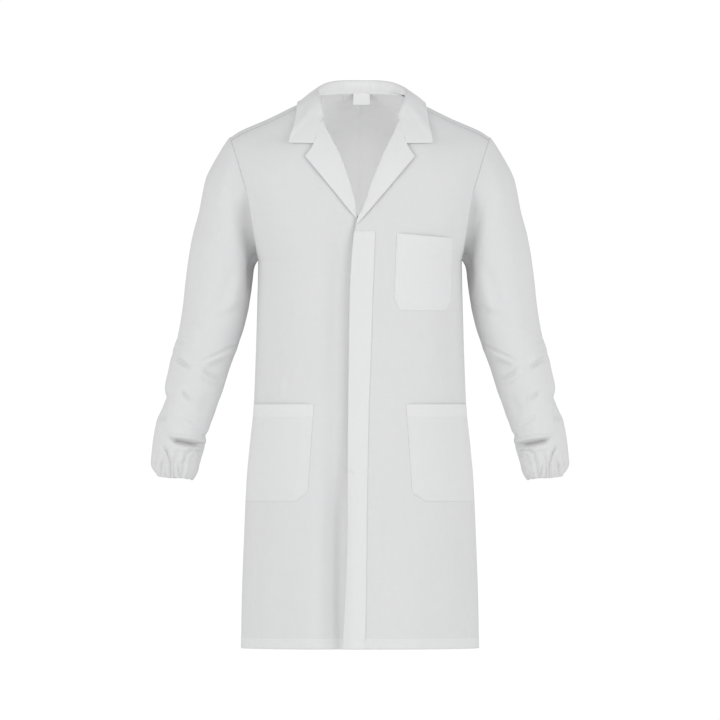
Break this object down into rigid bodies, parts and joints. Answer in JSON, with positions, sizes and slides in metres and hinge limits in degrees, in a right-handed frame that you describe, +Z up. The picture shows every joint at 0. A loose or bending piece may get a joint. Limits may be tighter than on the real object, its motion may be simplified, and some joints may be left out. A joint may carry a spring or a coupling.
{
  "type": "lab coat",
  "caption": "Knee-length lab coat with notched lapels, concealed front closure, chest and hip pockets and set-in sleeves gathered at elastic cuffs; fronts and sleeves swing.",
  "frame": {"origin": "the neck seam at the centre back, where the coat is hung or worn", "axes": "+Z up along the coat's length, +Y towards the back, +X towards the wearer's left; the coat faces -Y"},
  "size_m": [0.7888, 0.2866, 1.0703],
  "materials": {
    "cloth": "matte plain weave",
    "cloth_double": "matte plain weave, two layers",
    "interlining": "matte",
    "elastic": "ribbed",
    "button": "satin",
    "label": "satin weave"
  },
  "bodies": {
    "torso": {"left_back_panel": "cloth", "right_back_panel": "cloth", "left_front_chest": "cloth", "right_front_chest": "cloth", "upper_collar": "cloth_double", "collar_interlining": "interlining", "under_collar": "cloth_double", "left_lapel": "cloth_double", "right_lapel": "cloth_double", "neck_tape": "cloth_double"},
    "left_front": {"left_front_skirt": "cloth", "left_placket": "cloth_double", "left_fly_strip": "cloth_double", "chest_pocket": "cloth_double", "left_hip_pocket": "cloth_double"},
    "right_front": {"right_front_skirt": "cloth", "right_front_facing": "cloth_double", "right_hip_pocket": "cloth_double", "button_1": "button", "button_2": "button", "button_3": "button", "button_4": "button", "button_5": "button"},
    "left_sleeve_body": {"left_sleeve": "cloth", "left_cuff_casing": "cloth_double", "left_cuff_elastic": "elastic"},
    "right_sleeve_body": {"right_sleeve": "cloth", "right_cuff_casing": "cloth_double", "right_cuff_elastic": "elastic"},
    "label": {"neck_label": "label"}
  },
  "joints": [
    {"name": "left_front_swing", "type": "hinge", "parent": "torso", "child": "left_front", "pos_m": [0.2, 0, -0.46], "axis": [-0.0457, 0, 0.999], "range_deg": [0, 20]},
    {"name": "right_front_swing", "type": "hinge", "parent": "torso", "child": "right_front", "pos_m": [-0.2, 0, -0.46], "axis": [-0.0457, 0, -0.999], "range_deg": [0, 20]},
    {"name": "left_sleeve_swing", "type": "hinge", "parent": "torso", "child": "left_sleeve_body", "pos_m": [0.2175, 0, -0.2], "axis": [-0.9749, 0, 0.2227], "range_deg": [-20, 30]},
    {"name": "right_sleeve_swing", "type": "hinge", "parent": "torso", "child": "right_sleeve_body", "pos_m": [-0.2175, 0, -0.2], "axis": [-0.9749, 0, -0.2227], "range_deg": [-20, 30]},
    {"name": "neck_label_flip", "type": "hinge", "parent": "torso", "child": "label", "pos_m": [0.003, 0.0595, -0.0015], "axis": [-1, 0, 0], "range_deg": [0, 100]}
  ],
  "couplings": [
    {"joint": "right_front_swing", "follows": "left_front_swing", "ratio": 1}
  ]
}
